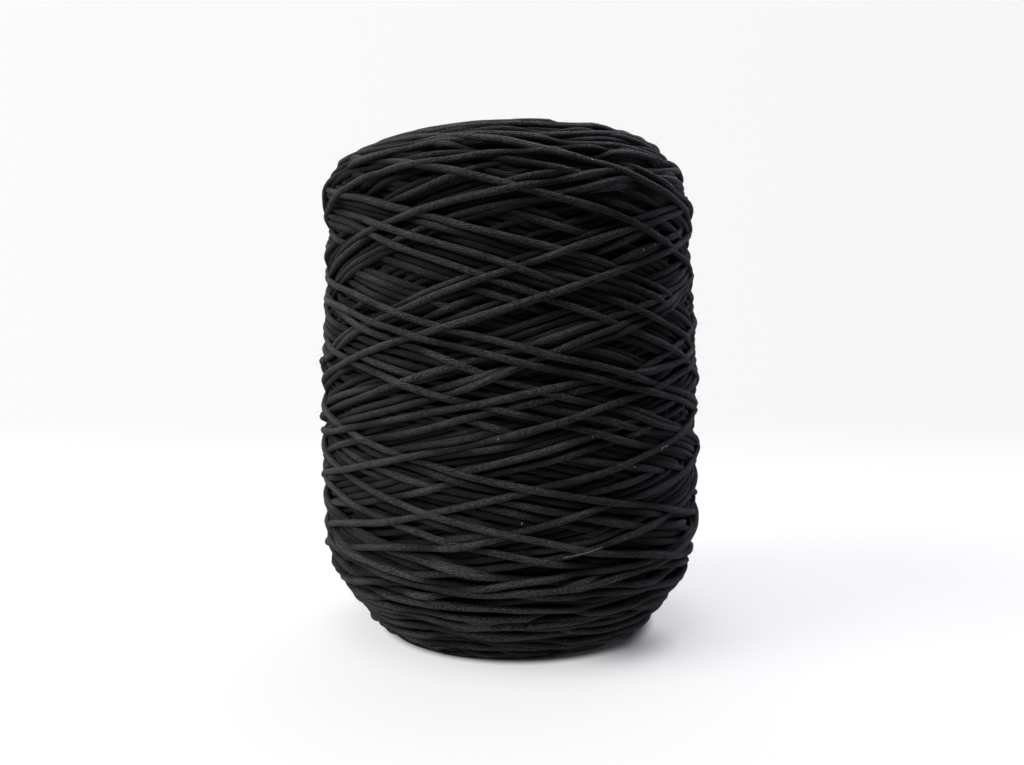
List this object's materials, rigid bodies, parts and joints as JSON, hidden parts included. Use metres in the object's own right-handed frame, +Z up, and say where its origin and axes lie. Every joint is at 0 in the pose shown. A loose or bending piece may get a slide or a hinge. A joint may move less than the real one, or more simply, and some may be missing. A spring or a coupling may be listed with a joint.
{
  "type": "cone of thread",
  "caption": "Cross-wound package of thick soft near-black cotton cord, nearly straight and slightly barrel-shaped, with sloping ends and an open hole through its middle.",
  "frame": {"origin": "middle of the package's box, on the surface that its flat lower end stands on", "axes": "+Z up along the winding's axis; the side seen in the picture faces -Y"},
  "size_m": [0.1426, 0.1414, 0.1834],
  "materials": {
    "cord": "soft matt single-strand cotton, near-black"
  },
  "bodies": {
    "root": {"wound_cord": "cord"}
  },
  "joints": []
}
